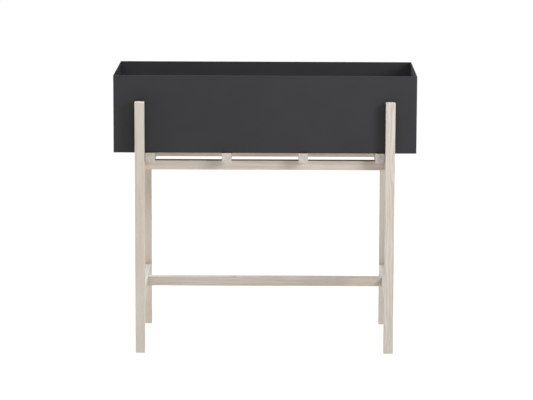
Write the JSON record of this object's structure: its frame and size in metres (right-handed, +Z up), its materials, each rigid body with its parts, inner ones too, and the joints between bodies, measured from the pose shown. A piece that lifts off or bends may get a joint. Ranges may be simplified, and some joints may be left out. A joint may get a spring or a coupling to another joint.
{
  "type": "raised planter on legs",
  "caption": "Long open-topped sheet steel planter that rests in, and lifts out of, a raised stand of square timber with legs that clasp it front and back.",
  "frame": {"origin": "on the floor, below the middle of the planter", "axes": "+X along the planter's long side, -Y towards the front, +Z up"},
  "size_m": [0.96, 0.476, 0.888],
  "materials": {
    "limed_ash": "white-pigmented matt oil, open grain",
    "dowel_beech": "raw",
    "screw_steel": "bright zinc",
    "powder_coat": "matt fine-texture powder coat"
  },
  "bodies": {
    "stand": {"leg_front_left": "limed_ash", "leg_rear_left": "limed_ash", "leg_front_right": "limed_ash", "leg_rear_right": "limed_ash", "upper_side_rail_left": "limed_ash", "lower_side_rail_left": "limed_ash", "upper_side_rail_right": "limed_ash", "lower_side_rail_right": "limed_ash", "front_long_rail": "limed_ash", "rear_long_rail": "limed_ash", "lower_stretcher": "limed_ash", "batten_1": "limed_ash", "batten_2": "limed_ash", "batten_3": "limed_ash", "batten_4": "limed_ash", "side_rail_dowels": "dowel_beech", "long_member_dowels": "dowel_beech", "frame_screws": "screw_steel", "batten_screws": "screw_steel"},
    "planter": {"planter_shell": "powder_coat", "planter_end_left": "powder_coat", "planter_end_right": "powder_coat"}
  },
  "joints": [
    {"name": "planter_lift", "type": "slide", "parent": "stand", "child": "planter", "axis": [0, 0, 1], "range_m": [0, 0.22]}
  ]
}
